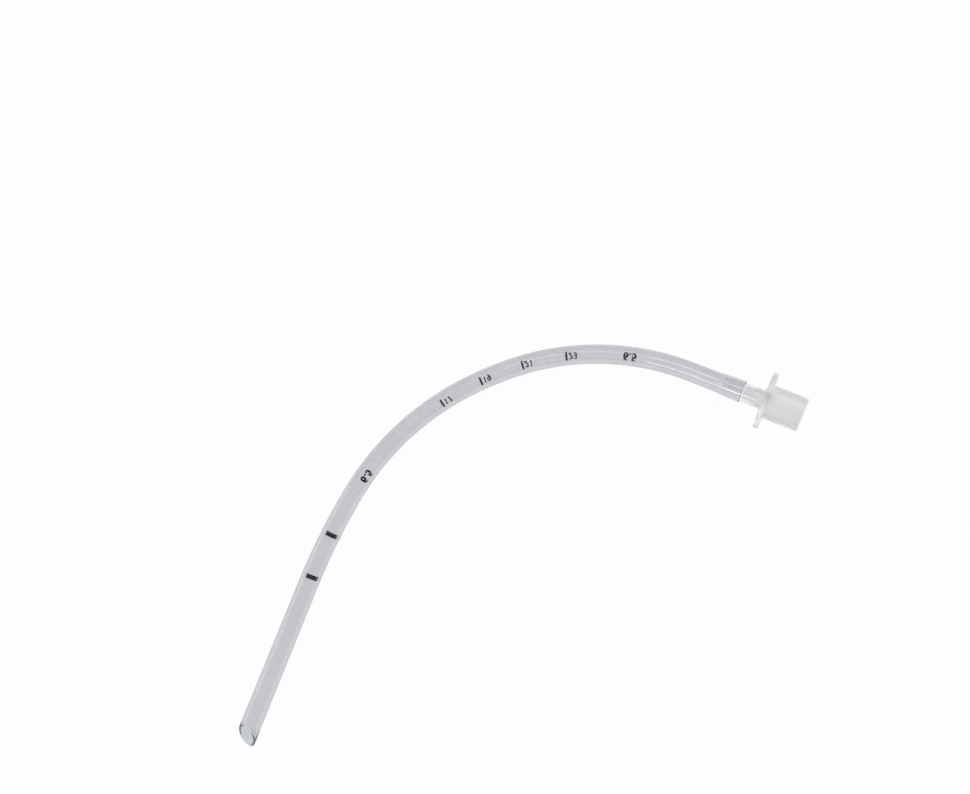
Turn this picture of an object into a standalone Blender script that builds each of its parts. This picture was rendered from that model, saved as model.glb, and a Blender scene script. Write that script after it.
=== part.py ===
"""Uncuffed endotracheal tube of 6.5 mm bore, with its 15 mm connector, lying at rest.

There are two pieces. tube_shaft is the curved clear tube, with a bevelled and rounded tip. connector
is one moulding: a tapered nipple pushed into the tube, a neck, an oblong flange and a hollow cone.

The tube is drawn flat first, in metres. The tip's long point is at the origin, the first straight run
goes along +Y, and every bend turns it to the right, so the connector ends up pointing roughly along +X.
Then both pieces are tilted together until they lie on the floor, on the flange and on one point of
the tube, and the origin goes under the middle of their box.
"""

import math

import bmesh
import bpy
from mathutils import Matrix, Vector

# Tube
BORE_DIAMETER = 0.0065
TUBE_DIAMETER = 0.0087
DISTAL_RUN = 0.069
BEND_LENGTHS = (0.044, 0.0675, 0.025, 0.081)
BEND_TURNS_DEG = (9.2, 33.0, 10.0, 43.1)
MACHINE_RUN = 0.0237

# Tip: the cut's angle to the tube's axis, and the long point's place round it, from the inside of
# the bend towards the floor
BEVEL_DEG = 50.0
LONG_POINT_DEG = -67.0

# Joint: the nipple stretches the tube, whose wall keeps its area
INSERTION = 0.0090
PRESS_CLEARANCE = 0.0001
FLARE_LENGTH = 0.0025
TUBE_END_ROUND = 0.00025

# Connector, along its axis from the nipple's end
NIPPLE_END_DIAMETER = 0.0071
NIPPLE_ROOT_DIAMETER = 0.0077
NECK_DIAMETER = 0.0083
NECK_STEP = 0.0008
NECK_LENGTH = 0.0092
NECK_FILLET = 0.0018
NIPPLE_BORE = 0.0058
FLANGE_THICKNESS = 0.0024
FLANGE_SPAN = 0.0238
FLANGE_WIDTH = 0.0164
FLANGE_CORNER = 0.0045
FLANGE_EDGE = 0.0007
CONE_LENGTH = 0.0155
CONE_MOUTH_DIAMETER = 0.0150
CONE_TAPER = 1 / 40
CONE_WALL = 0.0013
LEAD_IN_DEPTH = 0.0018
LEAD_IN_STEP = 0.0003
FUNNEL_LENGTH = 0.0040
EDGE_ROUND = 0.0004

# Weight, in kg for each cubic metre
TUBE_DENSITY = 1250.0
CONNECTOR_DENSITY = 905.0

# Fineness of the curved surfaces
TUBE_SIDES = 28
CONNECTOR_SIDES = 40
TURN_STEP_DEG = 4.0
RIM_STEPS = 6
SHARP_DEG = 40.0

# Worked out from the sizes above
TUBE_RADIUS = TUBE_DIAMETER / 2
BORE_RADIUS = BORE_DIAMETER / 2
RUNS = ((DISTAL_RUN, 0.0), *zip(BEND_LENGTHS, BEND_TURNS_DEG), (MACHINE_RUN, 0.0))
TUBE_LENGTH = sum(length for length, turn in RUNS)
NIPPLE_START = TUBE_LENGTH - INSERTION
HEEL = TUBE_DIAMETER / math.tan(math.radians(BEVEL_DEG))
FLANGE_START = INSERTION + NECK_LENGTH
CONE_START = FLANGE_START + FLANGE_THICKNESS
CONNECTOR_LENGTH = CONE_START + CONE_LENGTH


def clear_scene():
    """Removes every object that the file opened with."""
    for item in list(bpy.data.objects):
        bpy.data.objects.remove(item, do_unlink=True)


def axis_at(distance):
    """The tube's axis at a distance from the tip: its point, its direction and its right side."""
    point, heading = Vector((0.0, 0.0, 0.0)), 0.0
    left = distance
    for number, (length, turn_deg) in enumerate(RUNS):
        part = left if number == len(RUNS) - 1 else min(left, length)
        ahead = Vector((math.sin(heading), math.cos(heading), 0.0))
        right = Vector((ahead.y, -ahead.x, 0.0))
        if turn_deg == 0.0:
            point += ahead * part
        else:
            turn = math.radians(turn_deg)
            radius = length / turn
            angle = part / radius
            point += ahead * radius * math.sin(angle) + right * radius * (1 - math.cos(angle))
            heading += angle
        left -= part
        if left <= 0:
            break
    ahead = Vector((math.sin(heading), math.cos(heading), 0.0))
    return point, ahead, Vector((ahead.y, -ahead.x, 0.0))


def nipple_radius(distance):
    """Outer radius of the nipple, at a distance from its end."""
    share = min(max(distance / INSERTION, 0.0), 1.0)
    return (NIPPLE_END_DIAMETER + share * (NIPPLE_ROOT_DIAMETER - NIPPLE_END_DIAMETER)) / 2


def bore_radius(distance):
    """Inner radius of the tube, which flares just before the nipple and then hugs it."""
    flared = max(BORE_RADIUS, nipple_radius(distance - NIPPLE_START) + PRESS_CLEARANCE)
    share = min(max((distance - NIPPLE_START) / FLARE_LENGTH + 1.0, 0.0), 1.0)
    smooth = share * share * (3 - 2 * share)
    return BORE_RADIUS + smooth * (flared - BORE_RADIUS)


def wall_radius(distance):
    """Outer radius of the tube: the stretched wall has the area of the unstretched one."""
    return math.sqrt(bore_radius(distance) ** 2 + TUBE_RADIUS ** 2 - BORE_RADIUS ** 2)


def tube_stations():
    """Distances from the tip of the rings of points, from just past the bevel to the machine end."""
    flare_start = NIPPLE_START - FLARE_LENGTH
    end = TUBE_LENGTH - TUBE_END_ROUND
    past_heel = 1.15
    stations = [HEEL * past_heel]
    reached = 0.0
    for length, turn_deg in RUNS:
        steps = max(1, math.ceil(turn_deg / TURN_STEP_DEG))
        stations += [reached + length * step / steps for step in range(1, steps + 1)]
        reached += length
    stations = [place for place in stations if place < flare_start]
    flare_steps, nipple_steps = 5, 3
    stations += [flare_start + FLARE_LENGTH * step / flare_steps for step in range(flare_steps)]
    hugging = end - NIPPLE_START
    stations += [NIPPLE_START + hugging * step / nipple_steps for step in range(nipple_steps + 1)]
    return stations


def tube_rows():
    """Rings once round the wall's section: distance from the tip, radius, and if on the slanted rim."""
    stations = tube_stations()
    half_wall = (TUBE_RADIUS - BORE_RADIUS) / 2
    middle = TUBE_RADIUS - half_wall
    rows = [(place, wall_radius(place), False) for place in reversed(stations)]
    for step in range(RIM_STEPS + 1):
        angle = math.pi * step / RIM_STEPS
        rows.append((half_wall * (1 - math.sin(angle)), middle + half_wall * math.cos(angle), True))
    rows += [(place, bore_radius(place), False) for place in stations]
    rows.append((TUBE_LENGTH, bore_radius(TUBE_LENGTH) + TUBE_END_ROUND, False))
    rows.append((TUBE_LENGTH, wall_radius(TUBE_LENGTH) - TUBE_END_ROUND, False))
    return rows


def tube_point(distance, radius, on_rim, around):
    """A point of the tube's wall. On the rim it slides along the tube to lie on the slanted cut."""
    if on_rim:
        middle = (TUBE_RADIUS + BORE_RADIUS) / 2
        lean = middle - radius * math.cos(around - math.radians(LONG_POINT_DEG))
        distance += lean / math.tan(math.radians(BEVEL_DEG))
    centre, ahead, right = axis_at(distance)
    return centre + right * radius * math.cos(around) + Vector((0, 0, radius * math.sin(around)))


def grid_object(name, rows, closed_rows):
    """A mesh object from rings of points; the rings close on themselves, and so may their order."""
    mesh = bpy.data.meshes.new(name)
    build = bmesh.new()
    rings = [[build.verts.new(point) for point in row] for row in rows]
    sides = len(rings[0])
    pairs = zip(rings, rings[1:] + rings[:1]) if closed_rows else zip(rings, rings[1:])
    for ring, following in pairs:
        for side in range(sides):
            after = (side + 1) % sides
            build.faces.new((ring[side], ring[after], following[after], following[side]))
    if not closed_rows:
        build.faces.new(reversed(rings[0]))
        build.faces.new(rings[-1])
    bmesh.ops.recalc_face_normals(build, faces=build.faces)
    build.to_mesh(mesh)
    build.free()
    mesh.shade_smooth()
    mesh.set_sharp_from_angle(angle=math.radians(SHARP_DEG))
    item = bpy.data.objects.new(name, mesh)
    bpy.context.collection.objects.link(item)
    return item


def make_tube():
    """The curved tube: one closed wall, swept along the axis and cut to a rounded bevel."""
    angles = [2 * math.pi * side / TUBE_SIDES for side in range(TUBE_SIDES)]
    rows = [[tube_point(*row, angle) for angle in angles] for row in tube_rows()]
    return grid_object("tube_shaft", rows, closed_rows=True)


def arc(centre, radius, start_deg, end_deg, steps=3):
    """Points of a circular arc in a profile, both ends included."""
    angles = [math.radians(start_deg + (end_deg - start_deg) * step / steps) for step in range(steps + 1)]
    return [(centre[0] + radius * math.cos(angle), centre[1] + radius * math.sin(angle)) for angle in angles]


def turned(name, profile):
    """A solid turned about X from a profile of distances along X and radii."""
    angles = [2 * math.pi * side / CONNECTOR_SIDES for side in range(CONNECTOR_SIDES)]
    rows = [[Vector((along, radius * math.cos(angle), radius * math.sin(angle))) for angle in angles]
            for along, radius in profile]
    return grid_object(name, rows, closed_rows=False)


def cone_radius(along):
    """Outer radius of the 15 mm cone, which narrows towards its mouth."""
    return CONE_MOUTH_DIAMETER / 2 + (CONNECTOR_LENGTH - along) * CONE_TAPER / 2


def outer_profile():
    """The connector's outline from the nipple's end to the cone's mouth, without the flange."""
    buried = (FLANGE_START + CONE_START) / 2
    neck = NECK_DIAMETER / 2
    mouth = CONE_MOUTH_DIAMETER / 2
    profile = arc((EDGE_ROUND, nipple_radius(0) - EDGE_ROUND), EDGE_ROUND, 180, 90)
    profile += [(INSERTION, nipple_radius(INSERTION)), (INSERTION + NECK_STEP, neck)]
    profile += arc((FLANGE_START - NECK_FILLET, neck + NECK_FILLET), NECK_FILLET, 270, 360, steps=5)
    profile += [(buried, neck + NECK_FILLET), (buried, cone_radius(buried))]
    profile += arc((CONNECTOR_LENGTH - EDGE_ROUND, mouth - EDGE_ROUND), EDGE_ROUND, 90, 0)
    return profile


def bore_profile():
    """The way through the connector: the nipple's bore, a funnel, the cone's bore and its lead-in."""
    past_end = 0.001
    narrow = NIPPLE_BORE / 2
    lead_in_start = CONNECTOR_LENGTH - LEAD_IN_DEPTH
    wide = CONE_MOUTH_DIAMETER / 2 - CONE_WALL - LEAD_IN_STEP
    profile = [(-past_end, narrow)]
    funnel_steps = 8
    for step in range(funnel_steps + 1):
        share = step / funnel_steps
        radius = narrow + (wide - narrow) * (1 - math.cos(math.pi * share)) / 2
        profile.append((FLANGE_START + FUNNEL_LENGTH * share, radius))
    profile += [(lead_in_start, wide), (lead_in_start + LEAD_IN_STEP, wide + LEAD_IN_STEP)]
    profile += [(CONNECTOR_LENGTH + past_end, wide + LEAD_IN_STEP)]
    return profile


def make_flange():
    """The oblong flange with its two ears, as a plate across X with rounded corners and edges."""
    half_span, half_width = FLANGE_SPAN / 2, FLANGE_WIDTH / 2
    corner = min(FLANGE_CORNER, half_width)
    outline = []
    for quarter, (side, level) in enumerate(((1, 1), (-1, 1), (-1, -1), (1, -1))):
        centre = (side * (half_span - corner), level * (half_width - corner))
        outline += arc(centre, corner, 90 * quarter, 90 * quarter + 90, steps=5)
    faces = [[Vector((along, y, z)) for y, z in outline] for along in (FLANGE_START, CONE_START)]
    plate = grid_object("flange_plate", faces, closed_rows=False)
    edges = plate.modifiers.new("rounded_edges", "BEVEL")
    edges.width = FLANGE_EDGE
    edges.segments = 3
    edges.limit_method = "ANGLE"
    edges.angle_limit = math.radians(SHARP_DEG)
    return plate


def combine(item, tool, operation):
    """Joins a hidden tool to an object, or cuts it away, with an exact Boolean."""
    tool.hide_render = True
    tool.display_type = "WIRE"
    tool.parent = item
    step = item.modifiers.new(tool.name, "BOOLEAN")
    step.solver = "EXACT"
    step.operation = operation
    step.object = tool


def make_connector():
    """The connector: a turned body with the flange joined on and the way through cut out."""
    connector = turned("connector", outer_profile())
    combine(connector, make_flange(), "UNION")
    combine(connector, turned("bore_cutter", bore_profile()), "DIFFERENCE")
    start, ahead, right = axis_at(NIPPLE_START)
    directions = Matrix((ahead, -right, (0, 0, 1))).transposed()
    connector.matrix_world = Matrix.Translation(start) @ directions.to_4x4()
    return connector


def world_mesh(item):
    """The object's finished mesh in world space, with its triangles worked out."""
    bpy.context.view_layer.update()
    evaluated = item.evaluated_get(bpy.context.evaluated_depsgraph_get())
    mesh = bpy.data.meshes.new_from_object(evaluated)
    mesh.transform(evaluated.matrix_world)
    mesh.calc_loop_triangles()
    return mesh


def mass_moment(mesh, density):
    """Mass of a closed mesh, and its mass times its centre."""
    mass, moment = 0.0, Vector((0.0, 0.0, 0.0))
    for triangle in mesh.loop_triangles:
        a, b, c = (mesh.vertices[index].co for index in triangle.vertices)
        piece = density * a.dot(b.cross(c)) / 6
        mass += piece
        moment += piece * (a + b + c) / 4
    return mass, moment


def touching_place(contact, centre):
    """Where on the tube's axis the line from the contact through the centre of mass comes out."""
    across = Vector((contact.y - centre.y, centre.x - contact.x, 0.0))
    steps = 400
    searched = NIPPLE_START - BEND_LENGTHS[-1]
    places = [searched * step / steps for step in range(steps + 1)]
    return min(places, key=lambda place: abs((axis_at(place)[0] - centre).dot(across)))


def tilt_to_floor(point, touch, right):
    """Turn about the tube's touching line that brings a point of the connector down to the floor."""
    away, below = (point - touch).dot(right), -point.z
    return math.atan2(below, away) - math.asin(TUBE_RADIUS / math.hypot(away, below))


def settle(tube, connector):
    """Tilts both pieces to the pose they rest in, and puts the origin under their middle."""
    tube_mesh, connector_mesh = world_mesh(tube), world_mesh(connector)
    tube_mass, tube_moment = mass_moment(tube_mesh, TUBE_DENSITY)
    connector_mass, connector_moment = mass_moment(connector_mesh, CONNECTOR_DENSITY)
    centre = (tube_moment + connector_moment) / (tube_mass + connector_mass)
    corners = [vertex.co.copy() for vertex in connector_mesh.vertices]
    contact = min(corners, key=lambda corner: corner.z)
    for attempt in range(3):
        touch, ahead, right = axis_at(touching_place(contact, centre))
        contact = max(corners, key=lambda corner: tilt_to_floor(corner, touch, right))
    turn = Matrix.Rotation(-tilt_to_floor(contact, touch, right), 4, ahead)
    tilted = Matrix.Translation(touch) @ turn @ Matrix.Translation(-touch)
    points = [tilted @ vertex.co for mesh in (tube_mesh, connector_mesh) for vertex in mesh.vertices]
    low = Vector([min(point[axis] for point in points) for axis in range(3)])
    high = Vector([max(point[axis] for point in points) for axis in range(3)])
    middle = (low + high) / 2
    frame = bpy.data.objects.new("rest_frame", None)
    bpy.context.collection.objects.link(frame)
    for item in (tube, connector):
        item.parent = frame
    frame.matrix_world = Matrix.Translation((-middle.x, -middle.y, -low.z)) @ tilted


def paint(item, colour, roughness, transmission):
    """Gives a piece its own plain material."""
    material = bpy.data.materials.new(item.name)
    material.use_nodes = True
    shader = material.node_tree.nodes["Principled BSDF"]
    shader.inputs["Base Color"].default_value = (*colour, 1.0)
    shader.inputs["Roughness"].default_value = roughness
    shader.inputs["Metallic"].default_value = 0.0
    shader.inputs["Transmission Weight"].default_value = transmission
    item.data.materials.append(material)


def main():
    clear_scene()
    tube = make_tube()
    connector = make_connector()
    paint(tube, colour=(0.72, 0.74, 0.78), roughness=0.08, transmission=0.8)
    paint(connector, colour=(0.82, 0.84, 0.84), roughness=0.35, transmission=0.4)
    settle(tube, connector)


main()
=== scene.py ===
"""Looks of an uncuffed endotracheal tube of 6.5 mm bore with its 15 mm connector.

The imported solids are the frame. This file makes the clear tube and the moulded connector again with
finer meshes at the same sizes, prints the depth marks on the tube, and lights a pale floor.

The tube is drawn flat, in metres, as in the solids: the tip's long point is at the origin, the first
straight run goes along +Y, and every bend turns to the right. Then it is moved to its pose on the floor.
"""

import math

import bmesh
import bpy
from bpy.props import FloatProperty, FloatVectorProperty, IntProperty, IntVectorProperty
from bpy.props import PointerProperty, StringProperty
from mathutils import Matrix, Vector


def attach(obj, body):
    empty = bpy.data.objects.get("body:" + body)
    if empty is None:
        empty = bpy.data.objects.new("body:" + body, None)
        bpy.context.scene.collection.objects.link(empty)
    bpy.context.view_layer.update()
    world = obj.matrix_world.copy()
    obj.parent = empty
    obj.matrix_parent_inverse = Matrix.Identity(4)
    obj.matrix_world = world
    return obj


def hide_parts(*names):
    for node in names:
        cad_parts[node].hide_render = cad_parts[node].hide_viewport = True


bl_info = {
    "name": "Airway Tube",
    "version": (1, 0, 0),
    "blender": (4, 5, 0),
    "location": "3D View > Sidebar > Airway Tube",
    "description": "Builds a clear airway tube with its connector, its printed marks and a pale stage",
    "category": "Add Mesh",
}

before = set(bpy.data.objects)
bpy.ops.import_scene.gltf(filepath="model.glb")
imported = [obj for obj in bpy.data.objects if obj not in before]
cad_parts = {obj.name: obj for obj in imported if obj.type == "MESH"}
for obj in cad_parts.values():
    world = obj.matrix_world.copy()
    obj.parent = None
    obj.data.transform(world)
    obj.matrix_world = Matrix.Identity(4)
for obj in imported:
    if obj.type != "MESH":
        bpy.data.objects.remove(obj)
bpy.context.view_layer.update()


def length(name, description, default):
    """A property for a size in metres."""
    return FloatProperty(name=name, description=description, default=default, min=0.0, unit="LENGTH",
                         precision=5)


def position(name, description, default):
    """A property for a point in metres."""
    return FloatVectorProperty(name=name, description=description, default=default, size=3,
                               unit="LENGTH")


def lamp_size(name, description, default):
    """A property for the width and the height of a lamp in metres."""
    return FloatVectorProperty(name=name, description=description, default=default, size=2, min=0.0,
                               unit="LENGTH")


def angle(name, description, degrees):
    """A property for an angle, given in degrees and kept in radians."""
    return FloatProperty(name=name, description=description, default=math.radians(degrees),
                         subtype="ANGLE")


def colour(name, description, default):
    """A property for a colour."""
    return FloatVectorProperty(name=name, description=description, default=default, size=3, min=0.0,
                               max=1.0, subtype="COLOR")


def share(name, description, default):
    """A property for a number from 0 to 1."""
    return FloatProperty(name=name, description=description, default=default, min=0.0, max=1.0,
                         subtype="FACTOR")


def power(name, description, default):
    """A property for the power of a lamp."""
    return FloatProperty(name=name, description=description, default=default, min=0.0, unit="POWER")


class TubeSettings(bpy.types.PropertyGroup):
    """Sizes and finish of the clear tube."""

    diameter: length("Outer diameter", "Across the tube", 0.0087)
    bore: length("Bore", "Across the way through the tube", 0.0065)
    distal_run: length("Distal run", "Straight stretch behind the tip", 0.069)
    bend_lengths: FloatVectorProperty(
        name="Bend lengths", description="Lengths of the four bends, from the tip", size=4,
        default=(0.044, 0.0675, 0.025, 0.081), unit="LENGTH")
    bend_turns: FloatVectorProperty(
        name="Bend turns", description="How far each of the four bends turns", size=4,
        default=[math.radians(turn) for turn in (9.2, 33.0, 10.0, 43.1)], unit="ROTATION")
    machine_run: length("Machine run", "Straight stretch at the connector's end", 0.0237)
    bevel: angle("Bevel", "Angle of the tip's cut to the tube's axis", 50.0)
    long_point: angle("Long point",
                      "Side of the tube that the tip's long point is on, from the bend's inside up", -67.0)
    flare_length: length("Flare length", "Stretch in which the tube widens to take the nipple", 0.0025)
    end_round: length("End rounding", "Rounding of the machine end", 0.00025)
    sides: IntProperty(name="Sides", description="Points round the tube", default=96, min=12)
    turn_step: angle("Turn step", "Turn of a bend between two rings of points", 1.0)
    rim_steps: IntProperty(name="Rim steps", description="Steps round the tip's rim", default=14, min=4)
    tint: colour("Tint", "Colour that the surface gives to what shows through", (0.985, 0.986, 0.997))
    # Painted shade: this darker colour on the tip's far wall, seen alone through the cut, stands in for the
    # grey that light gives the rest of the tube.
    tip_tint: colour("Tip tint", "The same on the tip's far wall, which shows alone through the cut",
                     (0.76, 0.76, 0.79))
    # Painted shade and reflection: this bluish darker colour on the rounded rims of both ends stands in for
    # how they bend and reflect light.
    rim_tint: colour("Rim tint", "The same on the rims of the two ends", (0.78, 0.87, 0.98))
    depth_colour: colour("Depth colour", "Colour of light after a long way in the plastic",
                         (0.17, 0.175, 0.25))
    density: FloatProperty(name="Density", description="How fast the plastic takes up light, per metre",
                           default=200.0, min=0.0)
    roughness: share("Roughness", "How much the surface blurs what shows through", 0.02)
    rim_roughness: share("Rim roughness", "The same at the two ends, which were cut and rounded", 0.35)
    rim_haze: share("Rim haze", "Share of the light that the two ends scatter", 0.25)
    rim_depth: length("Rim depth", "How far from the tip's cut the tube is duller", 0.0014)


class RestSettings(bpy.types.PropertyGroup):
    """How the flat drawing lies on the floor."""

    tip: position("Tip", "Where the tube's axis starts, level with the tip's long point",
                  (-0.08676103, -0.11024821, 0.00473115))
    tilt: angle("Tilt", "Tilt of the curve's plane, as the flange lifts one side", 1.5795)
    heading: angle("Heading", "Direction of the line that the tube tilts about, from +Y to +X", 8.824)


class ConnectorSettings(bpy.types.PropertyGroup):
    """Sizes and finish of the moulded connector."""

    insertion: length("Insertion", "How far the nipple is pushed into the tube", 0.0090)
    press_clearance: length("Press clearance", "Gap between the nipple and the stretched tube", 0.0001)
    nipple_end: length("Nipple end", "Diameter at the nipple's end", 0.0071)
    nipple_root: length("Nipple root", "Diameter of the nipple at the tube's machine end", 0.0077)
    nipple_bore: length("Nipple bore", "Diameter of the way through the nipple", 0.0058)
    neck: length("Neck", "Diameter of the bare neck", 0.0083)
    neck_step: length("Neck step", "Length of the step between the nipple and the neck", 0.0008)
    neck_length: length("Neck length", "From the tube's machine end to the flange", 0.0092)
    neck_fillet: length("Neck fillet", "Radius between the neck and the flange", 0.0018)
    flange_thickness: length("Flange thickness", "Along the axis", 0.0024)
    flange_span: length("Flange span", "From ear to ear", 0.0238)
    flange_width: length("Flange width", "Across the two flat sides", 0.0164)
    flange_corner: length("Flange corner", "Radius of the ears' corners", 0.0045)
    flange_edge: length("Flange edge", "Rounding of the flange's edges", 0.0007)
    cone_length: length("Cone length", "From the flange to the mouth", 0.0155)
    cone_mouth: length("Cone mouth", "Outer diameter at the mouth", 0.0150)
    cone_taper: share("Cone taper", "Diameter lost for each length along the cone", 1 / 40)
    cone_wall: length("Cone wall", "Thickness of the cone's wall at the mouth", 0.0013)
    lead_in_depth: length("Lead-in depth", "Depth of the wider ring inside the mouth", 0.0018)
    lead_in_step: length("Lead-in step", "How much wider that ring is", 0.0003)
    funnel_length: length("Funnel length", "Where the narrow bore widens into the cone", 0.0040)
    edge_round: length("Edge rounding", "Rounding of the nipple's end and the mouth", 0.0004)
    sides: IntProperty(name="Sides", description="Points round the connector", default=120, min=16)
    tint: colour("Tint", "Colour of the milky plastic", (0.93, 0.928, 0.926))
    clear_tint: colour("Clear tint", "Colour of the clear nipple", (0.985, 0.985, 0.985))
    # Painted shade: this greyer colour on the clear neck past the tube stands in for the shade seen through
    # it.
    neck_tint: colour("Neck tint", "Colour of the clear neck", (0.83, 0.83, 0.828))
    clear_length: length("Clear length", "How far past the tube the neck stays clear", 0.003)
    clearness: share("Clearness", "Share of the light that passes through the milky plastic", 0.65)
    roughness: share("Roughness", "How satin the milky plastic is", 0.45)
    nipple_roughness: share("Nipple roughness", "How smooth the clear nipple is", 0.03)


class PrintSettings(bpy.types.PropertyGroup):
    """The printed bands and numbers, which are on the side of the tube that lies to the floor."""

    ink: colour("Ink", "Colour of the print", (0.004, 0.004, 0.005))
    proud: length("Proud", "How far the ink stands off the tube", 0.00002)
    band_places: FloatVectorProperty(
        name="Band places", description="Distances of the two solid bands from the tip", size=2,
        default=(0.0729, 0.0928), unit="LENGTH")
    band_width: length("Band width", "Along the tube", 0.0020)
    band_turn: angle("Band turn", "How far a band goes round the tube", 110.0)
    depths: IntVectorProperty(
        name="Depths", description="Depth marks, in centimetres from the tip", size=4,
        default=(17, 19, 21, 23))
    bar_width: length("Bar width", "Width of the line at a depth mark", 0.0009)
    bar_height: length("Bar height", "Height of the line at a depth mark, round the tube", 0.0053)
    digit_height: length("Digit height", "Height of the depth numbers, round the tube", 0.0039)
    digit_width: length("Digit width", "Width of a digit of the depth numbers", 0.00178)
    digit_gap: length("Digit gap", "From a digit to the next one", 0.00024)
    stroke: length("Stroke", "Width of the strokes of the depth numbers", 0.00065)
    size_text: StringProperty(name="Size", description="Bore in millimetres", default="6.5")
    size_places: FloatVectorProperty(
        name="Size places", description="Distances of the two size numbers from the tip", size=2,
        default=(0.1199, 0.2553), unit="LENGTH")
    size_height: length("Size height", "Height of the size numbers, round the tube", 0.0049)
    size_width: length("Size width", "Width of a digit of the size numbers", 0.0023)
    bold_stroke: length("Bold stroke", "Width of the strokes of the size numbers", 0.00095)
    side_distal: angle("Side near the tip", "Place of the print's middle, from straight down", -3.0)
    side_machine: angle("Side near the connector", "The same, after the tube's slight twist", -18.0)
    twist_start: length("Twist start", "Where the print starts to wander round the tube", 0.160)
    twist_end: length("Twist end", "Where the print stops wandering", 0.200)


class StageSettings(bpy.types.PropertyGroup):
    """Floor, light and camera."""

    floor_colour: colour("Floor colour", "Colour of the floor", (0.9, 0.9, 0.9))
    floor_size: length("Floor size", "Length of a side of the floor", 4.0)
    floor_glow: share("Floor white", "How far the camera sees the floor as plain white", 0.95)
    world_level: FloatProperty(name="World level", description="Strength of the even light",
                               default=0.18, min=0.0)
    main_size: lamp_size("Main size", "Width and height of the two main soft lamps", (1.4, 1.4))
    right_power: power("Right power", "Power of the main lamp behind on the right", 17.0)
    right_place: position("Right lamp", "Place of the main lamp behind on the right", (0.9, 1.0, 1.0))
    left_power: power("Left power", "Power of the main lamp in front on the left", 8.6)
    left_place: position("Left lamp", "Place of the main lamp in front on the left", (-1.0, -0.9, 1.0))
    tip_size: lamp_size("Tip size", "Low lamp that draws a line behind the tip", (0.6, 0.24))
    tip_power: power("Tip power", "Power of this lamp", 1.0)
    tip_place: position("Tip lamp", "Place of this lamp", (-1.0, 0.0, 0.23))
    arch_size: lamp_size("Arch size", "High lamp that draws a line on the arch", (0.2, 0.2))
    arch_power: power("Arch power", "Power of this lamp", 0.27)
    arch_place: position("Arch lamp", "Place of this lamp", (-0.08, 0.3, 1.2))
    front_size: lamp_size("Front size", "Low lamp that draws a line near the connector", (0.3, 0.24))
    front_power: power("Front power", "Power of this lamp", 0.95)
    front_place: position("Front lamp", "Place of this lamp", (-0.1, -0.8, 0.5))
    camera_target: position("Camera target", "Point in the middle of the picture",
                            (-0.0434445, 0.0625461, 0.005))
    camera_distance: length("Camera distance", "From the target", 0.52143)
    camera_azimuth: angle("Camera azimuth", "Direction that the camera looks in, from +Y to +X", -31.317)
    camera_elevation: angle("Camera elevation", "Height above the horizon", 70.402)
    camera_roll: angle("Camera roll", "Turn of the picture", -12.2)
    lens: FloatProperty(name="Lens", description="Focal length for a 36 mm sensor, in mm", default=43.405)


def smooth_step(number):
    """0 up to 0 and 1 from 1, with a smooth rise between."""
    number = min(max(number, 0.0), 1.0)
    return number * number * (3 - 2 * number)


def stretches(tube):
    """The tube's straight and bent stretches in order from the tip: length and turn of each."""
    return [(tube.distal_run, 0.0), *zip(tube.bend_lengths, tube.bend_turns), (tube.machine_run, 0.0)]


def tube_length(tube):
    """Length of the tube's axis."""
    return sum(run for run, turn in stretches(tube))


def middle_radius(tube):
    """Radius of the middle of the tube's wall."""
    return (tube.diameter + tube.bore) / 4


def heel_distance(tube):
    """How far behind the tip's long point its slanted cut ends."""
    return tube.diameter / math.tan(tube.bevel)


def nipple_start(tube, connector):
    """Distance from the tip of the nipple's end, inside the tube."""
    return tube_length(tube) - connector.insertion


def flange_start(connector):
    """Distance of the flange from the nipple's end."""
    return connector.insertion + connector.neck_length


def connector_end(connector):
    """Distance of the cone's mouth from the nipple's end."""
    return flange_start(connector) + connector.flange_thickness + connector.cone_length


def axis_at(tube, distance):
    """The tube's axis at a distance from the tip: its point, its direction and its right side."""
    point, heading, left = Vector((0.0, 0.0, 0.0)), 0.0, distance
    runs = stretches(tube)
    for number, (run, turn) in enumerate(runs):
        part = left if number == len(runs) - 1 else min(left, run)
        ahead = Vector((math.sin(heading), math.cos(heading), 0.0))
        right = Vector((ahead.y, -ahead.x, 0.0))
        if turn == 0.0:
            point += ahead * part
        else:
            radius = run / turn
            bent = part / radius
            point += ahead * radius * math.sin(bent) + right * radius * (1 - math.cos(bent))
            heading += bent
        left -= part
        if left <= 0:
            break
    ahead = Vector((math.sin(heading), math.cos(heading), 0.0))
    return point, ahead, Vector((ahead.y, -ahead.x, 0.0))


def rest_matrix(rest):
    """Moves the flat drawing to its pose on the floor."""
    line = Vector((math.sin(rest.heading), math.cos(rest.heading), 0.0))
    return Matrix.Translation(rest.tip) @ Matrix.Rotation(-rest.tilt, 4, line)


def nipple_radius(connector, distance):
    """Outer radius of the nipple, at a distance from its end."""
    along = min(max(distance / connector.insertion, 0.0), 1.0)
    return (connector.nipple_end + along * (connector.nipple_root - connector.nipple_end)) / 2


def bore_radius(tube, connector, distance):
    """Inner radius of the tube, which flares just before the nipple and then hugs it."""
    in_joint = distance - nipple_start(tube, connector)
    plain = tube.bore / 2
    hugging = nipple_radius(connector, in_joint) + connector.press_clearance
    flared = smooth_step(in_joint / tube.flare_length + 1.0)
    return plain + flared * (max(plain, hugging) - plain)


def wall_radius(tube, connector, distance):
    """Outer radius of the tube: the stretched wall has the area of the unstretched one."""
    area_over_pi = (tube.diameter / 2) ** 2 - (tube.bore / 2) ** 2
    return math.sqrt(bore_radius(tube, connector, distance) ** 2 + area_over_pi)


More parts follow.
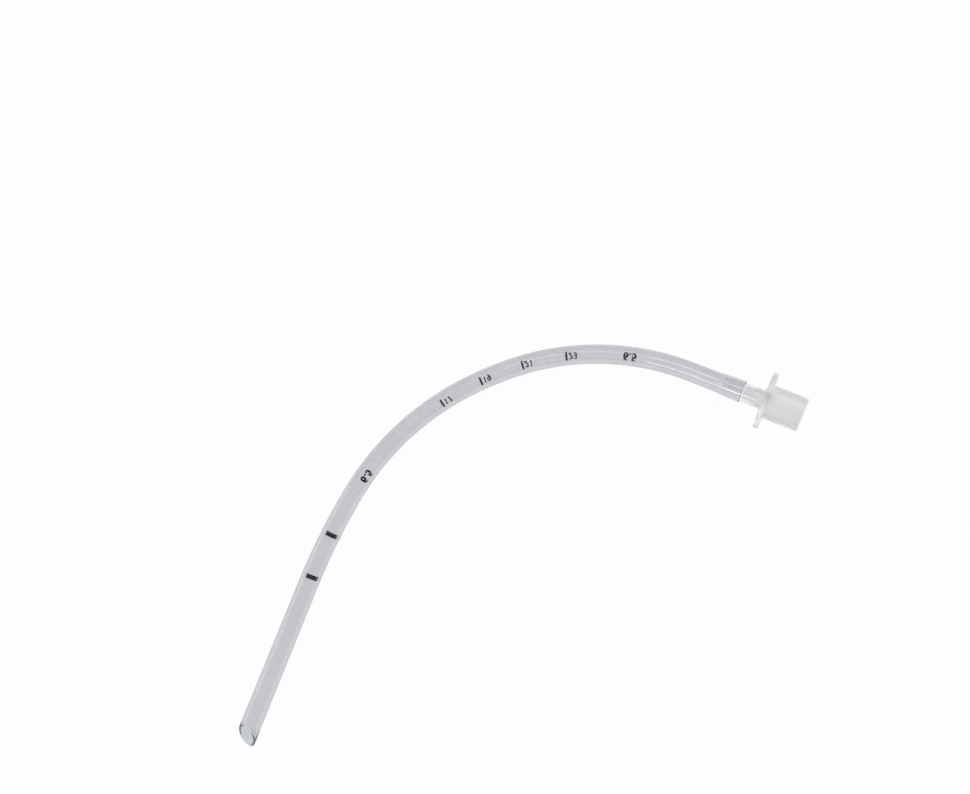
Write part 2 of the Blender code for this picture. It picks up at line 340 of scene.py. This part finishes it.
def tube_stations(tube, connector):
    """Distances from the tip of the rings of points, from just past the bevel to the machine end."""
    flare_start = nipple_start(tube, connector) - tube.flare_length
    past_heel = 1.15
    stations = [heel_distance(tube) * past_heel]
    straight_step = 0.006
    reached = 0.0
    for run, turn in stretches(tube):
        steps = math.ceil(max(turn / tube.turn_step, run / straight_step))
        stations += [reached + run * step / steps for step in range(1, steps + 1)]
        reached += run
    stations = [place for place in stations if stations[0] <= place < flare_start]
    end = tube_length(tube) - tube.end_round
    joint_steps = 24
    stations += [flare_start + (end - flare_start) * step / joint_steps for step in range(joint_steps + 1)]
    return stations


def tube_rows(tube, connector):
    """Rings once round the wall's section: distance from the tip, radius, and if on the slanted rim."""
    stations = tube_stations(tube, connector)
    half_wall = (tube.diameter - tube.bore) / 4
    middle = middle_radius(tube)
    rows = [(place, wall_radius(tube, connector, place), False) for place in reversed(stations)]
    for step in range(tube.rim_steps + 1):
        turn = math.pi * step / tube.rim_steps
        rows.append((half_wall * (1 - math.sin(turn)), middle + half_wall * math.cos(turn), True))
    rows += [(place, bore_radius(tube, connector, place), False) for place in stations]
    end = tube_length(tube)
    inner = bore_radius(tube, connector, end) + tube.end_round
    outer = wall_radius(tube, connector, end) - tube.end_round
    corner = 1 - math.sqrt(0.5)
    rows.append((end - corner * tube.end_round, inner - (1 - corner) * tube.end_round, False))
    rows += [(end, inner, False), (end, outer, False)]
    rows.append((end - corner * tube.end_round, outer + (1 - corner) * tube.end_round, False))
    return rows


def slid_to_cut(tube, distance, radius, around):
    """Distance from the tip of a point on the slanted rim, which lies on the tip's cut."""
    lean = middle_radius(tube) - radius * math.cos(around - tube.long_point)
    return distance + lean / math.tan(tube.bevel)


def swept_point(tube, distance, radius, around):
    """A point of the flat drawing round the tube's axis, with 0 on the inside of the bends."""
    centre, ahead, right = axis_at(tube, distance)
    return centre + right * radius * math.cos(around) + Vector((0.0, 0.0, radius * math.sin(around)))


def ring_mesh(name, rings, straight_rings, joined):
    """A mesh from rings of points. straight_rings hold each point's place as if the piece were straight."""
    mesh = bpy.data.meshes.new(name)
    build = bmesh.new()
    straight = build.verts.layers.float_vector.new("straight")
    rows = []
    for ring, straight_ring in zip(rings, straight_rings):
        row = [build.verts.new(point) for point in ring]
        for vertex, place in zip(row, straight_ring):
            vertex[straight] = place
        rows.append(row)
    sides = len(rows[0])
    pairs = zip(rows, rows[1:] + rows[:1]) if joined else zip(rows, rows[1:])
    for row, following in pairs:
        for side in range(sides):
            after = (side + 1) % sides
            build.faces.new((row[side], row[after], following[after], following[side]))
    if not joined:
        build.faces.new(reversed(rows[0]))
        build.faces.new(rows[-1])
    bmesh.ops.recalc_face_normals(build, faces=build.faces)
    build.to_mesh(mesh)
    build.free()
    mesh.shade_smooth()
    return mesh


def new_object(name, data):
    """A new object in the scene, with a mesh, a lamp or a camera as its data."""
    item = bpy.data.objects.new(name, data)
    bpy.context.scene.collection.objects.link(item)
    return item


def add_piece(name, mesh, material):
    """Makes a mesh a piece of the object, with its one material, and lets it ride on the frame."""
    mesh.materials.clear()
    mesh.materials.append(material)
    piece = new_object(name, mesh)
    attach(piece, "root")
    return piece


def new_material(name):
    """A new material with nodes, its main shader and its output."""
    material = bpy.data.materials.new(name)
    material.use_nodes = True
    nodes = material.node_tree.nodes
    return material, nodes["Principled BSDF"], nodes["Material Output"]


def add_node(tree, kind, **values):
    """A node with its settings and its unlinked inputs."""
    node = tree.nodes.new(kind)
    for key, value in values.items():
        if hasattr(node, key):
            setattr(node, key, value)
        else:
            node.inputs[key.replace("_", " ")].default_value = value
    return node


def ranged(tree, source, start, end, low, high):
    """Runs from one number to another while a source runs from start to end. Returns its socket."""
    node = add_node(tree, "ShaderNodeMapRange", From_Min=start, From_Max=end, To_Min=low, To_Max=high)
    tree.links.new(source, node.inputs["Value"])
    return node.outputs["Result"]


def rising(tree, point, direction, start, end):
    """A number that rises from 0 to 1 between two distances in a direction. Returns its socket."""
    along = add_node(tree, "ShaderNodeVectorMath", operation="DOT_PRODUCT")
    along.inputs[1].default_value = direction
    tree.links.new(point, along.inputs[0])
    return ranged(tree, along.outputs["Value"], start, end, 0.0, 1.0)


def blotches(tree, point, scale, low, high):
    """A soft noise pattern that runs between two numbers. Returns the socket that gives it."""
    noise = add_node(tree, "ShaderNodeTexNoise", Scale=scale, Detail=3.0)
    tree.links.new(point, noise.inputs["Vector"])
    mostly_above, mostly_below = 0.3, 0.7
    return ranged(tree, noise.outputs["Fac"], mostly_above, mostly_below, low, high)


def add_relief(tree, shader, height, depth):
    """Gives a surface a faint relief, from a socket that runs from 0 to 1 and a depth in metres."""
    bump = add_node(tree, "ShaderNodeBump", Strength=0.05, Distance=depth)
    tree.links.new(height, bump.inputs["Height"])
    tree.links.new(bump.outputs["Normal"], shader.inputs["Normal"])


def blended_colour(tree, factor, first, second):
    """A colour between two others. The first may come from a socket. Returns the socket that gives it."""
    mix = add_node(tree, "ShaderNodeMix", data_type="RGBA")
    first_end, second_end = [socket for socket in mix.inputs if socket.type == "RGBA"]
    if isinstance(first, bpy.types.NodeSocket):
        tree.links.new(first, first_end)
    else:
        first_end.default_value = (*first, 1.0)
    second_end.default_value = (*second, 1.0)
    tree.links.new(factor, mix.inputs[0])
    return [socket for socket in mix.outputs if socket.type == "RGBA"][0]


def combined(tree, operation, first, second):
    """One number from two that sockets give, such as their product. Returns its socket."""
    node = add_node(tree, "ShaderNodeMath", operation=operation)
    tree.links.new(first, node.inputs[0])
    tree.links.new(second, node.inputs[1])
    return node.outputs["Value"]


def lets_lamps_through(tree, shader, output, shade):
    """Lets lamp light pass a clear surface with a faint shadow, and shows the shader to all other rays."""
    path = add_node(tree, "ShaderNodeLightPath")
    clear = add_node(tree, "ShaderNodeBsdfTransparent")
    clear.inputs["Color"].default_value = (*shade, 1.0)
    mix = add_node(tree, "ShaderNodeMixShader")
    tree.links.new(path.outputs["Is Shadow Ray"], mix.inputs["Fac"])
    tree.links.new(shader.outputs["BSDF"], mix.inputs[1])
    tree.links.new(clear.outputs["BSDF"], mix.inputs[2])
    tree.links.new(mix.outputs["Shader"], output.inputs["Surface"])


def near_ends(tree, straight, tube):
    """1 on the rounded rims of the tube's two ends, and 0 away from them. Returns its socket."""
    slope = 1 / math.tan(tube.bevel)
    lean = (math.cos(tube.long_point) * slope, math.sin(tube.long_point) * slope, 1.0)
    cut = middle_radius(tube) * slope
    end = tube_length(tube)
    tip_rim = rising(tree, straight, lean, cut + tube.rim_depth, cut)
    machine_rim = rising(tree, straight, (0.0, 0.0, 1.0), end - tube.end_round * 2, end - tube.end_round)
    return combined(tree, "MAXIMUM", tip_rim, machine_rim)


def under_cut(tree, straight, tube):
    """1 on the tip's far wall, which shows through the slanted cut, and 0 elsewhere: where the tip's
    painted shade goes. Returns its socket.
    """
    heel = heel_distance(tube)
    full_from = heel * 0.75
    half_fade = tube.bore / 8
    near_tip = rising(tree, straight, (0.0, 0.0, 1.0), heel, full_from)
    far_side = rising(tree, straight, (0.0, 1.0, 0.0), half_fade, -half_fade)
    return combined(tree, "MULTIPLY", near_tip, far_side)


def clear_plastic(tube):
    """Soft clear plastic with a faint tint, fine streaks of extrusion along it and duller ends. Its colour
    is darker on the tip's far wall and bluish on the two ends, as painted shade.
    """
    cloud_scale, cloud_depth = 60.0, 0.14
    streak_scale, smoother, rougher = 1800.0, 0.6, 1.4
    groove_scale, groove_depth = 700.0, 0.00002
    squeezed_along = 0.02
    refraction = 1.53
    lamp_shade = (0.98, 0.98, 0.98)
    material, shader, output = new_material("clear_soft_plastic")
    tree = material.node_tree
    straight = add_node(tree, "ShaderNodeAttribute", attribute_name="straight").outputs["Vector"]
    stretched = add_node(tree, "ShaderNodeMapping")
    stretched.inputs["Scale"].default_value = (1.0, 1.0, squeezed_along)
    tree.links.new(straight, stretched.inputs["Vector"])
    streaks = stretched.outputs["Vector"]
    # Painted shade: the far wall under the tip's cut is blended to a darker colour. The faint clouds are
    # the plastic's own.
    clouds_and_tip_shade = combined(tree, "MAXIMUM", blotches(tree, straight, cloud_scale, 0.0, cloud_depth),
                      under_cut(tree, straight, tube))
    wall_tint = blended_colour(tree, clouds_and_tip_shade, tube.tint, tube.tip_tint)
    rough = blotches(tree, streaks, streak_scale, tube.roughness * smoother, tube.roughness * rougher)
    rims = near_ends(tree, straight, tube)
    # Painted shade and reflection: the rims of both ends are blended to a bluish darker colour. Their
    # roughness and haze are real.
    tree.links.new(blended_colour(tree, rims, wall_tint, tube.rim_tint), shader.inputs["Base Color"])
    rim_rough = ranged(tree, rims, 0.0, 1.0, 0.0, tube.rim_roughness)
    tree.links.new(combined(tree, "MAXIMUM", rough, rim_rough), shader.inputs["Roughness"])
    tree.links.new(ranged(tree, rims, 0.0, 1.0, 1.0, 1 - tube.rim_haze),
                   shader.inputs["Transmission Weight"])
    add_relief(tree, shader, blotches(tree, streaks, groove_scale, 0.0, 1.0), groove_depth)
    shader.inputs["IOR"].default_value = refraction
    body = add_node(tree, "ShaderNodeVolumeAbsorption", Density=tube.density)
    body.inputs["Color"].default_value = (*tube.depth_colour, 1.0)
    tree.links.new(body.outputs["Volume"], output.inputs["Volume"])
    lets_lamps_through(tree, shader, output, lamp_shade)
    return material


def natural_plastic(tube, connector, rest):
    """Natural plastic as moulded: clear and smooth at the nipple, and satin and milky from the neck on. The
    clear neck is coloured greyer, as painted shade.
    """
    cloud_scale, least_milky = 220.0, 0.8
    grain_scale, grain_depth = 1200.0, 0.00005
    refraction = 1.49
    lamp_shade = (0.82, 0.83, 0.83)
    material, shader, output = new_material("natural_moulded_plastic")
    tree = material.node_tree
    point = add_node(tree, "ShaderNodeTexCoord").outputs["Object"]
    end, ahead, right = axis_at(tube, tube_length(tube))
    pose = rest_matrix(rest)
    direction = pose.to_3x3() @ ahead
    tube_end = direction.dot(pose @ end)
    cloud = blotches(tree, point, cloud_scale, least_milky, 1.0)
    bare = rising(tree, point, direction, tube_end, tube_end + connector.neck_step)
    satin = rising(tree, point, direction, tube_end + connector.clear_length,
                   tube_end + connector.neck_length)
    milk = combined(tree, "MULTIPLY", satin, cloud)
    # Painted shade: the clear neck past the tube is coloured greyer than the nipple.
    clear = blended_colour(tree, bare, connector.clear_tint, connector.neck_tint)
    tree.links.new(blended_colour(tree, milk, clear, connector.tint), shader.inputs["Base Color"])
    tree.links.new(ranged(tree, milk, 0.0, 1.0, 1.0, connector.clearness),
                   shader.inputs["Transmission Weight"])
    tree.links.new(ranged(tree, milk, 0.0, 1.0, connector.nipple_roughness, connector.roughness),
                   shader.inputs["Roughness"])
    grain = combined(tree, "MULTIPLY", milk, blotches(tree, point, grain_scale, 0.0, 1.0))
    add_relief(tree, shader, grain, grain_depth)
    shader.inputs["IOR"].default_value = refraction
    lets_lamps_through(tree, shader, output, lamp_shade)
    return material


def printing_ink(printed):
    """Near-black ink with slightly uneven cover."""
    cover_scale, thin_lightness = 3000.0, 2.2
    gloss_scale, least_rough, most_rough = 1500.0, 0.45, 0.65
    material, shader, output = new_material("printing_ink")
    tree = material.node_tree
    point = add_node(tree, "ShaderNodeTexCoord").outputs["Object"]
    thin = tuple(channel * thin_lightness for channel in printed.ink)
    cover = blotches(tree, point, cover_scale, 0.0, 1.0)
    tree.links.new(blended_colour(tree, cover, printed.ink, thin), shader.inputs["Base Color"])
    tree.links.new(blotches(tree, point, gloss_scale, least_rough, most_rough),
                   shader.inputs["Roughness"])
    return material


def all_round(sides):
    """Evenly spaced angles once round."""
    return [2 * math.pi * side / sides for side in range(sides)]


def tube_mesh(tube, connector, rest):
    """The clear tube's wall with its rounded bevelled tip, on the floor."""
    around = all_round(tube.sides)
    rings, straight_rings = [], []
    for distance, radius, on_rim in tube_rows(tube, connector):
        places = [slid_to_cut(tube, distance, radius, turn) if on_rim else distance for turn in around]
        rings.append([swept_point(tube, place, radius, turn) for place, turn in zip(places, around)])
        straight_rings.append([Vector((radius * math.cos(turn), radius * math.sin(turn), place))
                               for place, turn in zip(places, around)])
    mesh = ring_mesh("airway_tube", rings, straight_rings, joined=True)
    mesh.transform(rest_matrix(rest))
    return mesh


def bow(centre, across, up, start, end, steps=12):
    """Points of an elliptic arc, from one angle in degrees to another."""
    turns = [math.radians(start + (end - start) * step / steps) for step in range(steps + 1)]
    return [(centre[0] + across * math.cos(turn), centre[1] + up * math.sin(turn)) for turn in turns]


def arc(centre, radius, start, end, steps):
    """Points of a circular arc, from one angle in degrees to another."""
    return bow(centre, radius, radius, start, end, steps)


def outer_profile(connector):
    """The connector's outline from the nipple's end to the cone's mouth, without the flange."""
    near_side, end = flange_start(connector), connector_end(connector)
    buried = near_side + connector.flange_thickness / 2
    neck, fillet, edge = connector.neck / 2, connector.neck_fillet, connector.edge_round
    mouth = connector.cone_mouth / 2
    root = (end - buried) * connector.cone_taper / 2 + mouth
    profile = arc((edge, nipple_radius(connector, 0) - edge), edge, 180, 90, steps=6)
    profile.append((connector.insertion, nipple_radius(connector, connector.insertion)))
    profile.append((connector.insertion + connector.neck_step, neck))
    profile += arc((near_side - fillet, neck + fillet), fillet, 270, 360, steps=10)
    profile += [(buried, neck + fillet), (buried, root)]
    profile += arc((end - edge, mouth - edge), edge, 90, 0, steps=6)
    return profile


def bore_profile(connector):
    """The way through the connector: the nipple's bore, a funnel, the cone's bore and its lead-in."""
    start, end = flange_start(connector), connector_end(connector)
    past_end = 0.001
    narrow = connector.nipple_bore / 2
    wide = connector.cone_mouth / 2 - connector.cone_wall - connector.lead_in_step
    lead_in = end - connector.lead_in_depth
    profile = [(-past_end, narrow)]
    funnel_steps = 16
    for step in range(funnel_steps + 1):
        along = step / funnel_steps
        radius = narrow + (wide - narrow) * (1 - math.cos(math.pi * along)) / 2
        profile.append((start + connector.funnel_length * along, radius))
    profile += [(lead_in, wide), (lead_in + connector.lead_in_step, wide + connector.lead_in_step)]
    profile.append((end + past_end, wide + connector.lead_in_step))
    return profile


def working_object(name, rings):
    """A closed body from rings of points, which is only there until joined_mesh has used it."""
    return new_object(name, ring_mesh(name, rings, rings, joined=False))


def turned_object(name, profile, sides):
    """A solid turned about X from a profile of distances along X and radii."""
    rings = [[Vector((along, radius * math.cos(turn), radius * math.sin(turn)))
              for turn in all_round(sides)] for along, radius in profile]
    return working_object(name, rings)


def flange_object(connector):
    """The oblong flange with its two ears, as a plate across X with rounded corners and edges."""
    start = flange_start(connector)
    half_span, half_width = connector.flange_span / 2, connector.flange_width / 2
    corner = min(connector.flange_corner, half_width)
    outline = []
    for quarter, (side, level) in enumerate(((1, 1), (-1, 1), (-1, -1), (1, -1))):
        centre = (side * (half_span - corner), level * (half_width - corner))
        outline += arc(centre, corner, 90 * quarter, 90 * quarter + 90, steps=12)
    rings = [[Vector((along, y, z)) for y, z in outline]
             for along in (start, start + connector.flange_thickness)]
    item = working_object("flange_plate", rings)
    edges = item.modifiers.new("rounded_edges", "BEVEL")
    edges.width = connector.flange_edge
    edges.segments = 5
    edges.limit_method = "ANGLE"
    edges.angle_limit = math.radians(40)
    return item


def joined_mesh(body, tools):
    """The finished mesh of a body with its tools joined on or cut out. The working objects are removed."""
    for tool, operation in tools:
        step = body.modifiers.new(tool.name, "BOOLEAN")
        step.solver = "EXACT"
        step.operation = operation
        step.object = tool
    bpy.context.view_layer.update()
    evaluated = body.evaluated_get(bpy.context.evaluated_depsgraph_get())
    mesh = bpy.data.meshes.new_from_object(evaluated)
    for item in [body, *[tool for tool, operation in tools]]:
        bpy.data.objects.remove(item, do_unlink=True)
    return mesh


def connector_mesh(tube, connector, rest):
    """The connector in one moulding, with its nipple in the tube's machine end."""
    body = turned_object("turned_body", outer_profile(connector), connector.sides)
    bore = turned_object("bore_cutter", bore_profile(connector), connector.sides)
    mesh = joined_mesh(body, [(flange_object(connector), "UNION"), (bore, "DIFFERENCE")])
    start, ahead, right = axis_at(tube, nipple_start(tube, connector))
    directions = Matrix((ahead, -right, (0, 0, 1))).transposed()
    mesh.transform(rest_matrix(rest) @ Matrix.Translation(start) @ directions.to_4x4())
    mesh.shade_smooth()
    mesh.set_sharp_from_angle(angle=math.radians(30))
    return mesh


def print_side(printed, distance):
    """Where the middle of the print is, from straight down towards the inside of the bends."""
    shift = smooth_step((distance - printed.twist_start) / (printed.twist_end - printed.twist_start))
    return printed.side_distal + shift * (printed.side_machine - printed.side_distal)


def wrapped(tube, connector, printed, distance, height):
    """The place on the tube's outside of a printed point, height being its arc from the print's middle."""
    radius = wall_radius(tube, connector, distance)
    turn = print_side(printed, distance) + height / radius - math.pi / 2
    return swept_point(tube, distance, radius + printed.proud, turn)


def print_piece(name, flat, tube, connector, printed, rest, material):
    """Wraps a flat print on the tube. Its X is the distance from the tip and its Y the height."""
    cut_step = 0.0002
    heights = [vertex.co.y for vertex in flat.verts]
    lowest = min(heights)
    for number in range(1, math.ceil((max(heights) - lowest) / cut_step)):
        geometry = [*flat.verts, *flat.edges, *flat.faces]
        bmesh.ops.bisect_plane(flat, geom=geometry, plane_co=(0, lowest + number * cut_step, 0),
                               plane_no=(0, 1, 0))
    for vertex in flat.verts:
        vertex.co = wrapped(tube, connector, printed, vertex.co.x, vertex.co.y)
    mesh = bpy.data.meshes.new(name)
    flat.to_mesh(mesh)
    flat.free()
    mesh.transform(rest_matrix(rest))
    mesh.shade_smooth()
    add_piece(name, mesh, material)


def add_flat_bar(flat, start, end, low, high):
    """Adds a rectangle to a flat print."""
    corners = [(start, low), (end, low), (end, high), (start, high)]
    flat.faces.new([flat.verts.new((x, y, 0.0)) for x, y in corners])


def add_stroke(flat, points, width):
    """Adds a line of even width along points to a flat print, with square ends and mitred corners."""
    ahead = [(end - start).normalized() for start, end in zip(points, points[1:])]
    pairs = []
    for number, point in enumerate(points):
        before = ahead[max(number - 1, 0)]
        after = ahead[min(number, len(ahead) - 1)]
        middle = (before + after).normalized()
        half = Vector((-middle.y, middle.x)) * width / 2 / max(middle.dot(after), 0.5)
        pairs.append([flat.verts.new((*(point + side * half), 0.0)) for side in (1, -1)])
    for (left, right), (next_left, next_right) in zip(pairs, pairs[1:]):
        flat.faces.new((right, next_right, next_left, left))


def digit_strokes(digit):
    """The strokes of a plain digit, drawn in a cell 1 wide and 1 high."""
    upper = bow((0.5, 0.75), 0.5, 0.25, 150, -90)
    lower = bow((0.5, 0.25), 0.5, 0.25, 90, -150)
    strokes = {
        "1": [[(0.2, 0.78), (0.6, 1.0), (0.6, 0.0)]],
        "2": [[*bow((0.5, 0.7), 0.5, 0.3, 160, -30), (0.0, 0.0), (1.0, 0.0)]],
        "3": [[*upper, *lower[1:]]],
        "5": [[(0.95, 1.0), (0.15, 1.0), (0.05, 0.5), *bow((0.47, 0.33), 0.53, 0.33, 130, -150)]],
        "6": [[*bow((0.6, 0.5), 0.6, 0.5, 60, 180), *bow((0.5, 0.32), 0.5, 0.32, 180, 540, steps=20)]],
        "7": [[(0.0, 1.0), (1.0, 1.0), (0.35, 0.0)]],
        "9": [[*bow((0.4, 0.5), 0.6, 0.5, -120, 0), *bow((0.5, 0.68), 0.5, 0.32, 0, 360, steps=20)]],
        ".": [[(0.5, 0.0), (0.5, 0.24)]],
    }
    return strokes[digit]


def add_number(flat, text, start, low, cell, gap, height, stroke):
    """Adds a number to a flat print, from start and low on. The strokes stay in their cells."""
    point_share = 0.35
    for digit in text:
        width = cell * point_share if digit == "." else cell
        for points in digit_strokes(digit):
            placed = [Vector((start + stroke / 2 + x * (width - stroke),
                              low + stroke / 2 + y * (height - stroke))) for x, y in points]
            add_stroke(flat, placed, stroke)
        start += width + gap


def flat_bands(tube, printed):
    """The two solid bands, laid out flat."""
    flat = bmesh.new()
    half_width, half_height = printed.band_width / 2, printed.band_turn * tube.diameter / 4
    for place in printed.band_places:
        add_flat_bar(flat, place - half_width, place + half_width, -half_height, half_height)
    return flat


def flat_depth_marks(printed):
    """The lines across the tube with the depths beside them, laid out flat."""
    flat = bmesh.new()
    half_width, half_height = printed.bar_width / 2, printed.bar_height / 2
    number_gap = printed.bar_width * 0.6
    for depth in printed.depths:
        place = depth / 100
        add_flat_bar(flat, place - half_width, place + half_width, -half_height, half_height)
        add_number(flat, str(depth), place + half_width + number_gap, -printed.digit_height / 2,
                   printed.digit_width, printed.digit_gap, printed.digit_height, printed.stroke)
    return flat


def flat_size_numbers(printed):
    """The bore's size, twice, laid out flat."""
    flat = bmesh.new()
    for place in printed.size_places:
        add_number(flat, printed.size_text, place, -printed.size_height / 2, printed.size_width,
                   printed.digit_gap, printed.size_height, printed.bold_stroke)
    return flat


def size_settings():
    """The scene's settings of the tube, the connector and the pose, which every piece needs."""
    scene = bpy.context.scene
    return scene.airway_tube, scene.airway_connector, scene.airway_rest


class AIRWAY_OT_tube(bpy.types.Operator):
    """Make the clear tube"""

    bl_idname = "airway.tube"
    bl_label = "Clear Tube"

    def execute(self, context):
        tube, connector, rest = size_settings()
        piece = add_piece("airway_tube", tube_mesh(tube, connector, rest), clear_plastic(tube))
        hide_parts("tube_shaft")
        return {"FINISHED"}


class AIRWAY_OT_connector(bpy.types.Operator):
    """Make the moulded connector"""

    bl_idname = "airway.connector"
    bl_label = "Moulded Connector"

    def execute(self, context):
        tube, connector, rest = size_settings()
        piece = add_piece("moulded_connector", connector_mesh(tube, connector, rest),
                          natural_plastic(tube, connector, rest))
        weighted = piece.modifiers.new("even_shading", "WEIGHTED_NORMAL")
        weighted.keep_sharp = True
        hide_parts("connector")
        return {"FINISHED"}


class AIRWAY_OT_print(bpy.types.Operator):
    """Print the bands, the depth marks and the size numbers on the tube"""

    bl_idname = "airway.print"
    bl_label = "Printed Marks"

    def execute(self, context):
        tube, connector, rest = size_settings()
        printed = context.scene.airway_print
        ink = printing_ink(printed)
        for name, flat in (("printed_bands", flat_bands(tube, printed)),
                           ("printed_depth_marks", flat_depth_marks(printed)),
                           ("printed_size_numbers", flat_size_numbers(printed))):
            print_piece(name, flat, tube, connector, printed, rest, ink)
        return {"FINISHED"}


def seen_directly(tree):
    """1 for camera, glossy and transmission rays, and 0 for those that only carry light."""
    path = add_node(tree, "ShaderNodeLightPath").outputs
    either = combined(tree, "MAXIMUM", path["Is Camera Ray"], path["Is Glossy Ray"])
    return combined(tree, "MAXIMUM", either, path["Is Transmission Ray"])


def floor_material(stage):
    """Pale floor that the camera sees as plain white, with the object's soft shadow on it."""
    material, shader, output = new_material("pale_floor")
    tree = material.node_tree
    shader.inputs["Base Color"].default_value = (*stage.floor_colour, 1.0)
    shader.inputs["Roughness"].default_value = 0.9
    shader.inputs["Specular IOR Level"].default_value = 0.0
    glow = add_node(tree, "ShaderNodeEmission", Strength=1.0)
    glow.inputs["Color"].default_value = (1.0, 1.0, 1.0, 1.0)
    mix = add_node(tree, "ShaderNodeMixShader")
    tree.links.new(ranged(tree, seen_directly(tree), 0.0, 1.0, 0.0, stage.floor_glow), mix.inputs["Fac"])
    tree.links.new(shader.outputs["BSDF"], mix.inputs[1])
    tree.links.new(glow.outputs["Emission"], mix.inputs[2])
    tree.links.new(mix.outputs["Shader"], output.inputs["Surface"])
    return material


def add_floor(stage):
    """The pale floor, just under the object."""
    half = stage.floor_size / 2
    level = -0.00005
    corners = [(-half, -half, level), (half, -half, level), (half, half, level), (-half, half, level)]
    mesh = bpy.data.meshes.new("floor")
    mesh.from_pydata(corners, [], [(0, 1, 2, 3)])
    mesh.materials.append(floor_material(stage))
    floor = new_object("floor", mesh)


def add_world(stage):
    """Even light from all round, which the camera sees as white."""
    world = bpy.data.worlds.new("soft_light")
    world.use_nodes = True
    tree = world.node_tree
    background = tree.nodes["Background"]
    background.inputs["Color"].default_value = (1.0, 1.0, 1.0, 1.0)
    path = add_node(tree, "ShaderNodeLightPath")
    level = ranged(tree, path.outputs["Is Camera Ray"], 0.0, 1.0, stage.world_level, 1.0)
    tree.links.new(level, background.inputs["Strength"])
    bpy.context.scene.world = world


def add_lamp(name, watts, size, place, target):
    """A flat soft lamp of a width and a height that shines at the target, unseen by the camera."""
    data = bpy.data.lights.new(name, "AREA")
    data.energy = watts
    data.shape = "RECTANGLE"
    data.size, data.size_y = size
    lamp = new_object(name, data)
    lamp.visible_camera = False
    lamp.location = place
    lamp.rotation_euler = (Vector(target) - Vector(place)).to_track_quat("-Z", "Y").to_euler()


def add_camera(stage):
    """The camera, from its target, distance, direction and roll."""
    azimuth, elevation, roll = stage.camera_azimuth, stage.camera_elevation, stage.camera_roll
    flat = Vector((math.sin(azimuth), math.cos(azimuth), 0.0))
    forward = flat * math.cos(elevation) + Vector((0.0, 0.0, -math.sin(elevation)))
    level = Vector((flat.y, -flat.x, 0.0))
    upright = level.cross(forward)
    right = level * math.cos(roll) + upright * math.sin(roll)
    up = upright * math.cos(roll) - level * math.sin(roll)
    data = bpy.data.cameras.new("camera")
    data.lens = stage.lens
    data.sensor_width = 36.0
    data.clip_start = 0.01
    camera = new_object("camera", data)
    turned = Matrix((right, up, -forward)).transposed().to_4x4()
    place = Vector(stage.camera_target) - forward * stage.camera_distance
    camera.matrix_world = Matrix.Translation(place) @ turned
    bpy.context.scene.camera = camera


class AIRWAY_OT_stage(bpy.types.Operator):
    """Make the floor, the light and the camera"""

    bl_idname = "airway.stage"
    bl_label = "Stage"

    def execute(self, context):
        stage = context.scene.airway_stage
        add_floor(stage)
        add_world(stage)
        for name, watts, size, place in (
                ("right_lamp", stage.right_power, stage.main_size, stage.right_place),
                ("left_lamp", stage.left_power, stage.main_size, stage.left_place),
                ("tip_lamp", stage.tip_power, stage.tip_size, stage.tip_place),
                ("arch_lamp", stage.arch_power, stage.arch_size, stage.arch_place),
                ("front_lamp", stage.front_power, stage.front_size, stage.front_place)):
            add_lamp(name, watts, size, place, stage.camera_target)
        add_camera(stage)
        context.scene.view_settings.view_transform = "Standard"
        return {"FINISHED"}


class AIRWAY_PT_panel(bpy.types.Panel):
    """Lists the settings and the steps that make the scene"""

    bl_idname = "AIRWAY_PT_panel"
    bl_label = "Airway Tube"
    bl_space_type = "VIEW_3D"
    bl_region_type = "UI"
    bl_category = "Airway Tube"

    def draw(self, context):
        for operator, groups in STEPS:
            box = self.layout.box()
            box.operator(operator.bl_idname)
            for group in groups:
                settings = getattr(context.scene, group)
                for name in type(settings).__annotations__:
                    box.prop(settings, name)


STEPS = (
    (AIRWAY_OT_tube, ("airway_tube", "airway_rest")),
    (AIRWAY_OT_connector, ("airway_connector",)),
    (AIRWAY_OT_print, ("airway_print",)),
    (AIRWAY_OT_stage, ("airway_stage",)),
)
SETTINGS = {
    "airway_tube": TubeSettings,
    "airway_rest": RestSettings,
    "airway_connector": ConnectorSettings,
    "airway_print": PrintSettings,
    "airway_stage": StageSettings,
}


def register():
    """Makes the settings, the steps and the panel known."""
    for name, group in SETTINGS.items():
        bpy.utils.register_class(group)
        setattr(bpy.types.Scene, name, PointerProperty(type=group))
    for operator, groups in STEPS:
        bpy.utils.register_class(operator)
    bpy.utils.register_class(AIRWAY_PT_panel)


def unregister():
    """Takes them away again."""
    bpy.utils.unregister_class(AIRWAY_PT_panel)
    for operator, groups in reversed(STEPS):
        bpy.utils.unregister_class(operator)
    for name, group in reversed(SETTINGS.items()):
        delattr(bpy.types.Scene, name)
        bpy.utils.unregister_class(group)


def main():
    """Builds the object and its stage."""
    register()
    bpy.ops.airway.tube()
    bpy.ops.airway.connector()
    bpy.ops.airway.print()
    bpy.ops.airway.stage()


if __name__ == "__main__":
    main()
